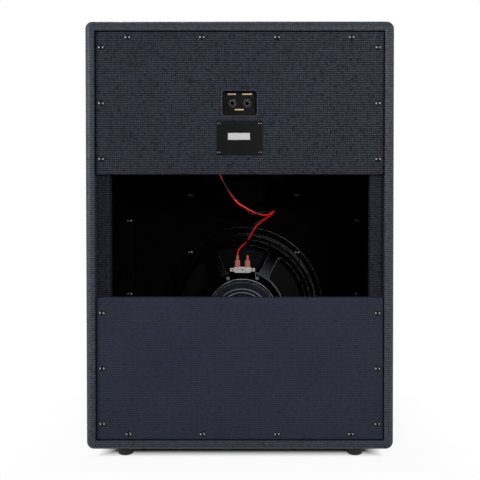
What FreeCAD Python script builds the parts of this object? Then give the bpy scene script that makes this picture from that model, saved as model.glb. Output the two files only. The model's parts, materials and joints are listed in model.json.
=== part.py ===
import FreeCAD
import Part
import math
import os

from FreeCAD import Vector

# Vertical open-backed guitar speaker cabinet with two 12-inch speakers.
# Millimetres. The front faces -Y, the open rear faces +Y, and +Z is up.
# The origin is on the floor, below the middle of the case.

# Case
case_width = 514.0
case_depth = 286.0
case_height = 715.0
board_thickness = 15.0
covering_thickness = 0.8
rim_flat = 3.3
finger_count = 9

# Rubber feet
foot_height = 15.0
foot_radius = 14.5
foot_tip_radius = 13.0
foot_edge_radius = 4.7
foot_edge_share = 0.8
foot_side_inset = 62.2
foot_end_inset = 31.0
foot_recess_radius = 5.4
foot_recess_depth = 9.0
foot_screw_end_gap = 2.8

# Back panels and the cleats that carry them
upper_panel_height = 237.0
lower_panel_height = 238.0
panel_board_thickness = 9.0
panel_recess = 3.0
panel_gap = 1.2
panel_edge_radius = 2.0
panel_row_shares = (-0.775, -0.26, 0.26, 0.775)
panel_column_shares = (0.1125, 0.502, 0.891)
rear_cleat_width = 23.5
rear_cleat_depth = 20.0
rear_cleat_edge_radius = 3.0

# Baffle and its cleats
baffle_thickness = 15.0
baffle_gap = 0.4
baffle_hole_clearance = 0.5
baffle_cleat_width = 27.0
baffle_cleat_depth = 20.0
baffle_screw_inset = 18.0
baffle_screw_shares = (0.1, 0.31, 0.52, 0.727, 0.935)

# Grille
grille_recess = 4.0
grille_gap = 1.2
grille_cloth_thickness = 0.8
grille_frame_thickness = 8.0
grille_frame_border = 30.0
grille_pad_thickness = 2.4
grille_pad_length = 40.0
grille_pad_width = 18.0
grille_pad_shares = (-0.8, 0.0, 0.8)

# Wood screws of the panels and the baffle
screw_head_radius = 4.3
screw_head_height = 2.2
screw_shank_radius = 2.0
screw_length = 26.0
screw_point_length = 4.0
screw_slot_length = 4.6
screw_slot_width = 1.1
screw_slot_depth = 1.3
screw_clearance = 0.25
pilot_clearance = 0.1

# Small screws of the plates
plate_screw_head_radius = 2.6
plate_screw_head_height = 1.5
plate_screw_shank_radius = 1.3
plate_screw_length = 7.0
plate_screw_point_length = 1.5
plate_screw_slot_length = 3.0
plate_screw_slot_width = 0.7
plate_screw_slot_depth = 0.8

# Label plate
label_width = 76.0
label_height = 57.0
label_thickness = 1.2
label_corner_radius = 1.5
label_gap = 8.5
label_screw_side_inset = 3.9
label_screw_end_inset = 4.7

# Jack plate and jacks
jack_window_width = 58.0
jack_window_height = 41.5
jack_window_radius = 5.0
jack_plate_margin = 11.0
jack_plate_thickness = 2.0
jack_pitch = 25.0
jack_bore_radius = 3.25
jack_bush_radius = 4.7
jack_bush_clearance = 0.15
jack_bush_reach = 5.0
jack_nut_flats = 13.0
jack_nut_thickness = 3.0
jack_body_width = 14.0
jack_body_height = 16.0
jack_body_length = 24.0
jack_front_wall = 4.0
jack_end_wall = 3.0
jack_cavity_width = 9.0
jack_tag_width = 3.0
jack_tag_thickness = 0.6
jack_tag_length = 6.0
jack_tag_rise = 6.4
jack_link_radius = 0.5

# Contact spring of a jack
spring_width = 4.0
spring_thickness = 0.5
spring_knuckle_radius = 0.9
spring_seat_gap = 0.3
spring_flat_length = 6.5
spring_slope_length = 4.0
spring_tail_length = 3.0
spring_tail_rise = 2.0
spring_contact_height = 2.5

# Speakers
speaker_floor_margin = 32.7
speaker_top_margin = 18.7
speaker_gap = 14.0
bolt_inset = 6.0
bolt_count = 4
flange_screw_margin = 2.7
gasket_thickness = 5.0
gasket_step_gap = 0.5
surround_thickness = 0.9
surround_seat_gap = 0.05
sheet_thickness = 1.6
shoulder_taper = 2.5
shoulder_depth = 12.0
shoulder_width = 8.5
shoulder_step = 2.5
ledge_width = 15.0
ledge_rise = 10.0
base_radius = 58.0
base_taper = 3.0
base_hole_radius = 34.0
basket_depth = 96.0
window_inner_margin = 3.0
window_outer_margin = 9.0
window_corner_radius = 7.0
window_corner_share = 0.3
spoke_count = 6
spoke_width = 20.0

# Magnet system
front_plate_radius = 65.0
front_plate_thickness = 8.0
magnet_radius = 62.0
magnet_inner_radius = 32.0
magnet_thickness = 20.0
back_plate_radius = 51.0
back_plate_thickness = 8.0
back_plate_edge_radius = 1.5
back_plate_rim = 7.0
back_plate_dish_depth = 1.0
pole_radius = 21.0
former_gap = 0.5
former_thickness = 0.5
winding_thickness = 0.6
winding_overhang = 3.0
winding_gap = 0.5
former_tail = 1.0

# Cone, dust cap, surround and spider
cone_thickness = 0.8
cone_lip_width = 5.0
cone_edge_depth = 0.3
cone_neck_gap = 0.1
neck_to_ledge = 27.0
dust_cap_radius = 40.0
dust_cap_height = 13.0
dust_cap_thickness = 0.9
dust_cap_gap = 0.1
surround_width = 10.0
surround_roll_count = 2
surround_roll_height = 2.0
surround_land_width = 3.9
spider_thickness = 0.8
spider_land_inset = 4.0
spider_land_gap = 0.1
spider_cup_height = 7.0
spider_cup_slant = 3.0
spider_roll_count = 5
spider_roll_height = 1.5
spider_neck_gap = 0.3
spider_neck_width = 5.0

# Terminal strip and spade connectors
strip_offset = 4.6
strip_width = 30.0
strip_height = 11.0
strip_thickness = 1.6
ear_span = 46.0
ear_height = 6.0
ear_hole_radius = 1.5
tongue_span = 48.0
tongue_height = 16.0
tongue_drop = 3.7
tongue_thickness = 3.0
tongue_overlap = 0.9
tab_pitch = 18.6
tab_width = 6.3
tab_thickness = 0.8
tab_end_gap = 2.3
spade_width = 9.6
spade_length = 11.5
spade_depth = 5.5
spade_edge_radius = 1.6
spade_neck_radius = 2.4
spade_neck_length = 9.0
spade_seat_gap = 0.9
spade_slot_clearance = 0.1

# Speaker screws
speaker_screw_head_radius = 4.8
speaker_screw_head_height = 3.0
speaker_screw_shank_radius = 2.4
speaker_screw_length = 19.0
speaker_screw_point_length = 4.0
speaker_screw_slot_length = 5.2
speaker_screw_slot_width = 1.2
speaker_screw_slot_depth = 1.6

# Wires from the input jack to the lower speaker: each route runs from a tag to a spade connector,
# and moves along with both of them
wire_diameter = 2.6
bend_share = 0.45
red_route = (
    (12.5, 98.2, 600.1),
    (12.5, 88, 600.1), (17, 77, 591), (26, 73, 570), (36, 77, 541), (41, 83, 510), (39, 88, 483),
    (30, 86, 463), (17, 83, 441), (5, 80, 425), (-12, 75, 416), (-27, 70, 407), (-44, 58, 404),
    (-56, 40, 406), (-51, 20, 400), (-37, 8, 392), (-24, 0, 380), (-16, -6, 365), (-9, -11, 352),
    (1, -14, 343), (9.3, -16.1, 334), (9.3, -16.1, 325.5),
)
black_route = (
    (12.5, 98.2, 587.3),
    (12.5, 89, 587.3), (14.5, 79, 578), (21, 76, 561), (30, 80, 535), (36, 87, 506), (34, 93, 479),
    (29, 93, 462), (22.5, 91, 451), (15, 88, 441), (8, 84.5, 433), (-0.5, 75.5, 426.5),
    (-9, 70.5, 415.5), (-16, 71, 407.5), (-24, 74.5, 406), (-34, 71.5, 410.5), (-48, 60, 410.5),
    (-62, 41, 410), (-59, 21, 407), (-46, 17.5, 401.5), (-34, 13.5, 393), (-22, 7, 383),
    (-12, -0.5, 367), (-9, -5, 352), (-10.5, -10.5, 342.5), (-9.3, -16.1, 334), (-9.3, -16.1, 325.5),
)

# Overrun of cutting solids, and how nearly an edge follows a direction
overrun = 2.0
parallel_share = 0.999

# Places worked out from the sizes above
half_width = case_width / 2
front_y = -case_depth / 2
rear_y = case_depth / 2
case_bottom = foot_height
case_top = case_bottom + case_height
wood_half_width = half_width - covering_thickness
wood_bottom = case_bottom + covering_thickness
wood_top = case_top - covering_thickness
inner_half_width = wood_half_width - board_thickness
inner_bottom = wood_bottom + board_thickness
inner_top = wood_top - board_thickness
inner_height = inner_top - inner_bottom
mouth_half_width = inner_half_width - covering_thickness
mouth_bottom = inner_bottom + covering_thickness
mouth_top = inner_top - covering_thickness
panel_half_width = mouth_half_width - panel_gap
panel_thickness = panel_board_thickness + covering_thickness
panel_outer_y = rear_y - panel_recess
panel_inner_y = panel_outer_y - panel_thickness
upper_panel_top = mouth_top - panel_gap
upper_panel_bottom = upper_panel_top - upper_panel_height
lower_panel_bottom = mouth_bottom + panel_gap
lower_panel_top = lower_panel_bottom + lower_panel_height
cloth_front_y = front_y + grille_recess
frame_front_y = cloth_front_y + grille_cloth_thickness
frame_rear_y = frame_front_y + grille_frame_thickness
baffle_front_y = frame_rear_y + grille_pad_thickness
baffle_rear_y = baffle_front_y + baffle_thickness
column_x = inner_half_width - rear_cleat_width / 2
row_inset = rear_cleat_width / 2
case_edge_radius = board_thickness + covering_thickness - rim_flat
foot_screw_length = inner_bottom - foot_recess_depth - foot_screw_end_gap
foot_round = min(foot_edge_radius, foot_edge_share * (foot_tip_radius - foot_recess_radius))
jack_z = (upper_panel_top + upper_panel_bottom) / 2
jack_plate_width = jack_window_width + 2 * jack_plate_margin
jack_plate_height = jack_window_height + 2 * jack_plate_margin
jack_plate_screw_inset = jack_plate_margin / 2
jack_plate_y = panel_inner_y - jack_plate_thickness
jack_end_y = jack_plate_y - jack_body_length
tag_end_y = jack_end_y - jack_tag_length
label_z = jack_z - (jack_window_height + label_height) / 2 - label_gap
flange_radius = (inner_height - speaker_floor_margin - speaker_top_margin - speaker_gap) / 4
lower_axis_z = inner_bottom + speaker_floor_margin + flange_radius
upper_axis_z = inner_top - speaker_top_margin - flange_radius
speaker_middle_z = (lower_axis_z + upper_axis_z) / 2
bolt_circle_radius = flange_radius - bolt_inset
flange_inner_radius = bolt_circle_radius - speaker_screw_head_radius - flange_screw_margin
baffle_hole_radius = flange_inner_radius + baffle_hole_clearance
gasket_step_radius = flange_inner_radius + surround_land_width + gasket_step_gap
shoulder_radius = flange_inner_radius - shoulder_taper
wall_top_radius = shoulder_radius - shoulder_width
wall_top_depth = shoulder_depth + shoulder_step
ledge_inner_radius = base_radius + base_taper
ledge_radius = ledge_inner_radius + ledge_width
ledge_depth = basket_depth - ledge_rise
window_inner_radius = ledge_radius + window_inner_margin
window_outer_radius = wall_top_radius - window_outer_margin
window_round = min(window_corner_radius, window_corner_share * (window_outer_radius - window_inner_radius))
cone_edge_radius = flange_inner_radius - surround_width - cone_lip_width
cone_neck_depth = gasket_thickness + ledge_depth - neck_to_ledge
spider_land_width = ledge_width - spider_land_inset
former_inner_radius = pole_radius + former_gap
back_plate_dish_radius = back_plate_radius - back_plate_rim
strip_rise = ledge_radius + strip_offset
tab_length = strip_height / 2 + spade_seat_gap + spade_length - tab_end_gap
ledge_rear = gasket_thickness + ledge_depth + sheet_thickness
strip_front = ledge_rear - tongue_overlap + tongue_thickness
strip_rear = strip_front + strip_thickness
spade_middle = strip_rear + tab_thickness / 2
spade_bottom_rise = strip_rise + strip_height / 2 + spade_seat_gap
spade_top_rise = spade_bottom_rise + spade_length + spade_neck_length


def block(x0, x1, y0, y1, z0, z1):
    """A box between two corners."""
    return Part.makeBox(x1 - x0, y1 - y0, z1 - z0, Vector(x0, y0, z0))


def rounded_block(x0, x1, y0, y1, z0, z1, radius):
    """A box with all its edges rounded."""
    solid = block(x0, x1, y0, y1, z0, z1)
    return solid.makeFillet(radius, solid.Edges)


def round_along(solid, direction, radius, keep=None):
    """Round the edges that run along one direction, all of them or those that keep() picks."""
    picked = []
    for edge in solid.Edges:
        ends = edge.lastVertex().Point - edge.firstVertex().Point
        along = abs(ends.dot(direction)) > parallel_share * ends.Length
        if along and (keep is None or keep(edge.CenterOfMass)):
            picked.append(edge)
    return solid.makeFillet(radius, picked)


def circle_edges(solid, radius):
    """The round edges of one radius."""
    return [
        e for e in solid.Edges if isinstance(e.Curve, Part.Circle) and math.isclose(e.Curve.Radius, radius)
    ]


def rod_y(radius, y0, y1, x, z):
    """A round bar along Y."""
    return Part.makeCylinder(radius, y1 - y0, Vector(x, y0, z), Vector(0, 1, 0))


def cut_all(solid, tools):
    """Cut a list of solids out of one."""
    return solid.cut(Part.makeCompound(tools)) if tools else solid


def moved(shape, x, y, z):
    """A copy of a shape, moved."""
    copy = shape.copy()
    copy.translate(Vector(x, y, z))
    return copy


def turned(shape, axis, angle):
    """A copy of a shape, turned about an axis through the origin."""
    copy = shape.copy()
    copy.rotate(Vector(0, 0, 0), axis, angle)
    return copy


def screw(head_radius, head_height, shank_radius, length, point_length, slots):
    """A pan-head cross-recess screw along Y, its head from y = 0 to +Y."""
    shoulder = head_height / 2
    flank = [
        (0, -length),
        (shank_radius, point_length - length),
        (shank_radius, 0),
        (head_radius, 0),
        (head_radius, shoulder),
    ]
    dome = Part.Arc(
        Vector(head_radius, shoulder, 0),
        Vector(head_radius * math.sin(math.pi / 4), shoulder * (1 + math.cos(math.pi / 4)), 0),
        Vector(0, head_height, 0),
    )
    outline = lines(flank) + [dome.toShape()] + lines([(0, head_height), (0, -length)])
    body = spin(Part.Wire(outline))
    slot_length, slot_width, slot_depth = slots
    half_length = slot_length / 2
    half_width_of_slot = slot_width / 2
    floor = head_height - slot_depth
    roof = head_height + overrun
    cross = [
        block(-half_length, half_length, floor, roof, -half_width_of_slot, half_width_of_slot),
        block(-half_width_of_slot, half_width_of_slot, floor, roof, -half_length, half_length),
    ]
    return cut_all(body, cross)


def wood_screw(length):
    slots = (screw_slot_length, screw_slot_width, screw_slot_depth)
    return screw(
        screw_head_radius, screw_head_height, screw_shank_radius, length, screw_point_length, slots
    )


def plate_screw():
    slots = (plate_screw_slot_length, plate_screw_slot_width, plate_screw_slot_depth)
    return screw(
        plate_screw_head_radius,
        plate_screw_head_height,
        plate_screw_shank_radius,
        plate_screw_length,
        plate_screw_point_length,
        slots,
    )


def speaker_screw():
    slots = (speaker_screw_slot_length, speaker_screw_slot_width, speaker_screw_slot_depth)
    return screw(
        speaker_screw_head_radius,
        speaker_screw_head_height,
        speaker_screw_shank_radius,
        speaker_screw_length,
        speaker_screw_point_length,
        slots,
    )


# Case


def foot_places():
    x = half_width - foot_side_inset
    y = rear_y - foot_end_inset
    return [(sx * x, sy * y) for sx in (-1, 1) for sy in (-1, 1)]


def finger_cells(parity):
    """The blocks at the four long corners where the fingers of one set of boards lie."""
    pitch = case_depth / finger_count
    cells = []
    for side in (-1, 1):
        x0, x1 = sorted((side * inner_half_width, side * (half_width + overrun)))
        for z0, z1 in ((inner_top, case_top + overrun), (case_bottom - overrun, inner_bottom)):
            for i in range(finger_count):
                if i % 2 == parity:
                    first = front_y + i * pitch
                    cells.append(block(x0, x1, first, first + pitch, z0, z1))
    return cells


def case_boards():
    """Top, bottom and side boards, finger-jointed at their long corners."""
    wood = rounded_block(
        -wood_half_width,
        wood_half_width,
        front_y + covering_thickness,
        rear_y - covering_thickness,
        wood_bottom,
        wood_top,
        case_edge_radius - covering_thickness,
    )
    wood = wood.cut(
        block(-inner_half_width, inner_half_width, front_y, rear_y, inner_bottom, inner_top)
    )
    out_x = half_width + overrun
    low = case_bottom - overrun
    high = case_top + overrun
    slabs = {
        "top_board": (block(-out_x, out_x, front_y, rear_y, inner_top, high), 0),
        "bottom_board": (block(-out_x, out_x, front_y, rear_y, low, inner_bottom), 0),
        "left_side_board": (block(-out_x, -inner_half_width, front_y, rear_y, low, high), 1),
        "right_side_board": (block(inner_half_width, out_x, front_y, rear_y, low, high), 1),
    }
    boards = {}
    for name, (slab, parity) in slabs.items():
        boards[name] = cut_all(wood.common(slab), finger_cells(parity))
    boards["bottom_board"] = cut_all(boards["bottom_board"], foot_screw_holes(pilot_clearance))
    return wood, boards


def case_covering(wood):
    """The vinyl skin: outside all round, over both rims and into both mouths."""
    skin = rounded_block(
        -half_width, half_width, front_y, rear_y, case_bottom, case_top, case_edge_radius
    )
    skin = skin.cut(wood)
    mouth = block(
        -mouth_half_width,
        mouth_half_width,
        front_y - overrun,
        rear_y + overrun,
        mouth_bottom,
        mouth_top,
    )
    hold = block(
        -inner_half_width, inner_half_width, baffle_front_y, panel_inner_y, inner_bottom, inner_top
    )
    return cut_all(skin.cut(mouth).cut(hold), foot_screw_holes(screw_clearance))


def foot_screw_holes(clearance):
    holes = []
    depth = foot_recess_depth + foot_screw_length + clearance
    for x, y in foot_places():
        holes.append(
            Part.makeCylinder(screw_shank_radius + clearance, depth, Vector(x, y, 0), Vector(0, 0, 1))
        )
    return holes


def rubber_feet():
    """Tapered feet, each with a recess for its screw."""
    shank_hole = screw_shank_radius + screw_clearance
    outline = Part.makePolygon(
        [
            Vector(shank_hole, 0, foot_height),
            Vector(foot_radius, 0, foot_height),
            Vector(foot_tip_radius, 0, 0),
            Vector(foot_recess_radius, 0, 0),
            Vector(foot_recess_radius, 0, foot_recess_depth),
            Vector(shank_hole, 0, foot_recess_depth),
            Vector(shank_hole, 0, foot_height),
        ]
    )
    foot = Part.Face(outline).revolve(Vector(0, 0, 0), Vector(0, 0, 1), 360)
    foot = foot.makeFillet(foot_round, circle_edges(foot, foot_tip_radius))
    return Part.makeCompound([moved(foot, x, y, 0) for x, y in foot_places()])


def foot_screws():
    one = turned(wood_screw(foot_screw_length), Vector(1, 0, 0), -90)
    return Part.makeCompound([moved(one, x, y, foot_recess_depth) for x, y in foot_places()])


# Back panels


def panel_screw_places():
    """Rows along the outer edges and columns up both sides of the two panels."""
    places = []
    for share in panel_row_shares:
        places.append((share * panel_half_width, inner_top - row_inset))
        places.append((share * panel_half_width, inner_bottom + row_inset))
    for share in panel_column_shares:
        for side in (-1, 1):
            places.append((side * column_x, upper_panel_top - share * upper_panel_height))
            places.append((side * column_x, lower_panel_bottom + share * lower_panel_height))
    return places


def panel_screw_holes(clearance):
    radius = screw_shank_radius + clearance
    bottom = panel_outer_y - screw_length - clearance
    return [rod_y(radius, bottom, rear_y, x, z) for x, z in panel_screw_places()]


def label_screw_places():
    x = label_width / 2 - label_screw_side_inset
    z = label_height / 2 - label_screw_end_inset
    return [(sx * x, label_z + sz * z) for sx in (-1, 1) for sz in (-1, 1)]


def jack_plate_screw_places():
    x = jack_plate_width / 2 - jack_plate_screw_inset
    z = jack_plate_height / 2 - jack_plate_screw_inset
    return [(sx * x, jack_z + sz * z) for sx in (-1, 1) for sz in (-1, 1)]


def upper_panel_cuts():
    """The jack window, and the holes for the screws of both plates."""
    half_w = jack_window_width / 2
    half_h = jack_window_height / 2
    window = block(
        -half_w, half_w, panel_inner_y - overrun, rear_y, jack_z - half_h, jack_z + half_h
    )
    cuts = [round_along(window, Vector(0, 1, 0), jack_window_radius)]
    radius = plate_screw_shank_radius + pilot_clearance
    label_depth = plate_screw_length - label_thickness + pilot_clearance
    for x, z in label_screw_places():
        cuts.append(rod_y(radius, panel_outer_y - label_depth, rear_y, x, z))
    jack_depth = plate_screw_length - jack_plate_thickness + pilot_clearance
    for x, z in jack_plate_screw_places():
        cuts.append(rod_y(radius, panel_inner_y - overrun, panel_inner_y + jack_depth, x, z))
    return cuts


def back_panel(bottom, top, cuts):
    """A board and the vinyl over its face and edges."""
    outer = block(-panel_half_width, panel_half_width, panel_inner_y, panel_outer_y, bottom, top)
    outer_edges = [e for e in outer.Edges if e.CenterOfMass.y > panel_outer_y - panel_edge_radius]
    outer = outer.makeFillet(panel_edge_radius, outer_edges)
    board = block(
        covering_thickness - panel_half_width,
        panel_half_width - covering_thickness,
        panel_inner_y,
        panel_outer_y - covering_thickness,
        bottom + covering_thickness,
        top - covering_thickness,
    )
    board_face = panel_outer_y - covering_thickness
    board_edges = [e for e in board.Edges if e.CenterOfMass.y > board_face - panel_edge_radius]
    board = board.makeFillet(panel_edge_radius - covering_thickness, board_edges)
    tools = panel_screw_holes(screw_clearance) + cuts
    return cut_all(board, tools), cut_all(outer.cut(board), tools)


def back_panel_screws():
    one = wood_screw(screw_length)
    return Part.makeCompound([moved(one, x, panel_outer_y, z) for x, z in panel_screw_places()])


def rear_cleats():
    """The battens round the rear mouth, with rounded inner edges."""
    y0 = panel_inner_y - rear_cleat_depth
    inner_x = inner_half_width - rear_cleat_width
    low = inner_bottom + rear_cleat_width
    high = inner_top - rear_cleat_width
    blocks = {
        "rear_cleat_left": block(-inner_half_width, -inner_x, y0, panel_inner_y, inner_bottom, inner_top),
        "rear_cleat_right": block(inner_x, inner_half_width, y0, panel_inner_y, inner_bottom, inner_top),
        "rear_cleat_top": block(-inner_x, inner_x, y0, panel_inner_y, high, inner_top),
        "rear_cleat_bottom": block(-inner_x, inner_x, y0, panel_inner_y, inner_bottom, low),
    }
    near_rear = panel_inner_y - rear_cleat_edge_radius
    holes = panel_screw_holes(pilot_clearance)
    cleats = {}
    for name, solid in blocks.items():
        upright = name in ("rear_cleat_left", "rear_cleat_right")
        if upright:
            solid = round_along(
                solid,
                Vector(0, 0, 1),
                rear_cleat_edge_radius,
                lambda c: c.y > near_rear and abs(c.x) < column_x,
            )
        cleats[name] = cut_all(solid, holes)
    return cleats


# Baffle and grille


def baffle_screw_places():
    x = inner_half_width - baffle_screw_inset
    return [(sx * x, inner_bottom + s * inner_height) for sx in (-1, 1) for s in baffle_screw_shares]


def baffle_screw_holes(clearance):
    radius = screw_shank_radius + clearance
    head_y = baffle_rear_y + baffle_cleat_depth
    bottom = head_y - screw_length - clearance
    return [rod_y(radius, bottom, head_y + overrun, x, z) for x, z in baffle_screw_places()]


def baffle_cleats():
    cleats = {}
    for name, side in (("baffle_cleat_left", -1), ("baffle_cleat_right", 1)):
        x0, x1 = sorted((side * inner_half_width, side * (inner_half_width - baffle_cleat_width)))
        batten = block(x0, x1, baffle_rear_y, baffle_rear_y + baffle_cleat_depth, inner_bottom, inner_top)
        cleats[name] = cut_all(batten, baffle_screw_holes(screw_clearance))
    return cleats


def baffle_screws():
    one = wood_screw(screw_length)
    y = baffle_rear_y + baffle_cleat_depth
    return Part.makeCompound([moved(one, x, y, z) for x, z in baffle_screw_places()])


def speaker_screw_places():
    """The bolt circles of both speakers, with the first screw half a step off the top."""
    places = []
    for axis_z in (lower_axis_z, upper_axis_z):
        for i in range(bolt_count):
            angle = 2 * math.pi * (i + 1 / 2) / bolt_count
            places.append(
                (bolt_circle_radius * math.sin(angle), axis_z + bolt_circle_radius * math.cos(angle))
            )
    return places


def speaker_screw_seat():
    return baffle_rear_y + gasket_thickness + sheet_thickness


def speaker_screw_holes(clearance):
    radius = speaker_screw_shank_radius + clearance
    seat = speaker_screw_seat()
    first = seat - speaker_screw_length - clearance
    return [rod_y(radius, first, seat + overrun, x, z) for x, z in speaker_screw_places()]


def speaker_screws():
    one = speaker_screw()
    seat = speaker_screw_seat()
    return Part.makeCompound([moved(one, x, seat, z) for x, z in speaker_screw_places()])


def baffle_boards():
    """The front boards, one for each speaker, which meet midway between the two."""
    half_w = inner_half_width - baffle_gap
    spans = {
        "lower_baffle_board": (inner_bottom + baffle_gap, speaker_middle_z, lower_axis_z),
        "upper_baffle_board": (speaker_middle_z, inner_top - baffle_gap, upper_axis_z),
    }
    screw_holes = baffle_screw_holes(pilot_clearance) + speaker_screw_holes(pilot_clearance)
    first = baffle_front_y - overrun
    last = baffle_rear_y + overrun
    boards = {}
    for name, (low, high, axis_z) in spans.items():
        board = block(-half_w, half_w, baffle_front_y, baffle_rear_y, low, high)
        boards[name] = cut_all(board, screw_holes + [rod_y(baffle_hole_radius, first, last, 0, axis_z)])
    return boards


def grille_extent():
    half_w = mouth_half_width - grille_gap
    return half_w, mouth_bottom + grille_gap, mouth_top - grille_gap


def grille_frame():
    """A flat frame with a rail between the two speakers."""
    half_w, low, high = grille_extent()
    frame = block(-half_w, half_w, frame_front_y, frame_rear_y, low, high)
    window_half = half_w - grille_frame_border
    y0 = frame_front_y - overrun
    y1 = frame_rear_y + overrun
    half_rail = grille_frame_border / 2
    windows = [
        block(-window_half, window_half, y0, y1, low + grille_frame_border, speaker_middle_z - half_rail),
        block(-window_half, window_half, y0, y1, speaker_middle_z + half_rail, high - grille_frame_border),
    ]
    return cut_all(frame, windows)


def grille_cloth():
    half_w, low, high = grille_extent()
    return block(-half_w, half_w, cloth_front_y, frame_front_y, low, high)


def grille_pads():
    """Hook-and-loop pads between the grille frame and the baffle."""
    half_w, low, high = grille_extent()
    x = half_w - grille_frame_border / 2
    half_span = (high - low) / 2
    centre = (high + low) / 2
    pads = []
    for share in grille_pad_shares:
        z0 = centre + share * half_span - grille_pad_length / 2
        for side in (-1, 1):
            x0 = side * x - grille_pad_width / 2
            pads.append(
                block(x0, x0 + grille_pad_width, frame_rear_y, baffle_front_y, z0, z0 + grille_pad_length)
            )
    return Part.makeCompound(pads)


# Plates and jacks


def label_plate():
    half_w = label_width / 2
    half_h = label_height / 2
    plate = block(
        -half_w,
        half_w,
        panel_outer_y,
        panel_outer_y + label_thickness,
        label_z - half_h,
        label_z + half_h,
    )
    plate = round_along(plate, Vector(0, 1, 0), label_corner_radius)
    radius = plate_screw_shank_radius + pilot_clearance
    holes = [rod_y(radius, panel_outer_y - overrun, rear_y, x, z) for x, z in label_screw_places()]
    return cut_all(plate, holes)


def label_plate_screws():
    """Screws driven from behind the cabinet."""
    one = plate_screw()
    y = panel_outer_y + label_thickness
    return Part.makeCompound([moved(one, x, y, z) for x, z in label_screw_places()])


def jack_plate_screws():
    """Screws driven from inside the cabinet."""
    one = turned(plate_screw(), Vector(0, 0, 1), 180)
    return Part.makeCompound([moved(one, x, jack_plate_y, z) for x, z in jack_plate_screw_places()])


def jack_places():
    return {"input": jack_pitch / 2, "link": -jack_pitch / 2}


def jack_plate():
    """The plate behind the jack window, which carries both jacks."""
    half_w = jack_plate_width / 2
    half_h = jack_plate_height / 2
    plate = block(-half_w, half_w, jack_plate_y, panel_inner_y, jack_z - half_h, jack_z + half_h)
    first = jack_plate_y - overrun
    radius = plate_screw_shank_radius + pilot_clearance
    holes = [rod_y(radius, first, rear_y, x, z) for x, z in jack_plate_screw_places()]
    for x in jack_places().values():
        holes.append(rod_y(jack_bush_radius + jack_bush_clearance, first, rear_y, x, jack_z))
    return cut_all(plate, holes)


def jack_nuts():
    """Hexagon nuts, with a corner to each side."""
    corner = jack_nut_flats / math.sqrt(3)
    points = [
        Vector(corner * math.cos(i * math.pi / 3), 0, corner * math.sin(i * math.pi / 3)) for i in range(7)
    ]
    hexagon = Part.Face(Part.makePolygon(points)).extrude(Vector(0, jack_nut_thickness, 0))
    bore = rod_y(jack_bush_radius + jack_bush_clearance, -overrun, jack_nut_thickness + overrun, 0, 0)
    nut = hexagon.cut(bore)
    return Part.makeCompound([moved(nut, x, panel_inner_y, jack_z) for x in jack_places().values()])


def jack_body(x):
    """The bush and the open-topped body of one jack, and its two tags."""
    half_w = jack_body_width / 2
    half_h = jack_body_height / 2
    bush_end = panel_inner_y + jack_bush_reach
    shell = block(x - half_w, x + half_w, jack_end_y, jack_plate_y, jack_z - half_h, jack_z + half_h)
    shell = shell.fuse(rod_y(jack_bush_radius, jack_plate_y, bush_end, x, jack_z))
    half_cavity = jack_cavity_width / 2
    cavity = block(
        x - half_cavity,
        x + half_cavity,
        jack_end_y + jack_end_wall,
        jack_plate_y - jack_front_wall,
        jack_z - half_cavity,
        jack_z + half_h + overrun,
    )
    bore = rod_y(jack_bore_radius, jack_end_y + jack_end_wall, bush_end + overrun, x, jack_z)
    half_tag = jack_tag_width / 2
    tags = []
    for z in (jack_z + jack_tag_rise, jack_z - jack_tag_rise):
        tags.append(
            block(
                x - half_tag,
                x + half_tag,
                tag_end_y,
                jack_end_y,
                z - jack_tag_thickness / 2,
                z + jack_tag_thickness / 2,
            )
        )
    return [shell.cut(cavity).cut(bore)] + tags


def jack_links():
    """The bare wires that join the tags of the two jacks."""
    reach = (jack_pitch - jack_tag_width) / 2
    y = (tag_end_y + jack_end_y) / 2
    wires = []
    for z in (jack_z + jack_tag_rise, jack_z - jack_tag_rise):
        wires.append(
            Part.makeCylinder(jack_link_radius, 2 * reach, Vector(-reach, y, z), Vector(1, 0, 0))
        )
    return wires


def spring_pivot():
    y = jack_end_y + jack_end_wall / 2
    z = jack_z + jack_body_height / 2 + spring_seat_gap + spring_knuckle_radius
    return y, z


def jack_spring(x):
    """A bent leaf whose free end dips into the bore, with a rolled root over the end wall."""
    y, z = spring_pivot()
    half_w = spring_width / 2
    half_t = spring_thickness / 2
    bend = y + spring_flat_length
    dip = bend + spring_slope_length
    tip = dip + spring_tail_length
    low = jack_z + spring_contact_height
    line = [(y, z), (bend, z), (dip, low), (tip, low + spring_tail_rise)]
    upper = [Vector(x - half_w, p, q + half_t) for p, q in line]
    lower = [Vector(x - half_w, p, q - half_t) for p, q in reversed(line)]
    outline = Part.makePolygon(upper + lower + [upper[0]])
    leaf = Part.Face(outline).extrude(Vector(spring_width, 0, 0))
    knuckle = Part.makeCylinder(
        spring_knuckle_radius, spring_width, Vector(x - half_w, y, z), Vector(1, 0, 0)
    )
    return leaf.fuse(knuckle).removeSplitter()


# Speakers: profiles are drawn with the radius along X and the depth behind the baffle along Y


def spin(wire):
    """Turn a closed profile about the speaker's axis."""
    return Part.Face(wire).revolve(Vector(0, 0, 0), Vector(0, 1, 0), 360)


def ring(inner, outer, first, last):
    """A round ring, or a disc where the inner radius is zero."""
    corners = [(inner, first), (outer, first), (outer, last), (inner, last), (inner, first)]
    return spin(Part.makePolygon([Vector(r, a, 0) for r, a in corners]))


def lines(points):
    """Straight edges through a list of points."""
    corners = [Vector(r, a, 0) for r, a in points]
    return [Part.LineSegment(p, q).toShape() for p, q in zip(corners, corners[1:])]


def rolls(start, end, depth, height, count):
    """A row of half waves between two radii, first to the front and then to the rear."""
    step = (end - start) / count
    edges = []
    for i in range(count):
        side = -1 if i % 2 == 0 else 1
        r = start + i * step
        edges.append(
            Part.Arc(
                Vector(r, depth, 0),
                Vector(r + step / 2, depth + side * height, 0),
                Vector(r + step, depth, 0),
            ).toShape()
        )
    return edges


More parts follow.
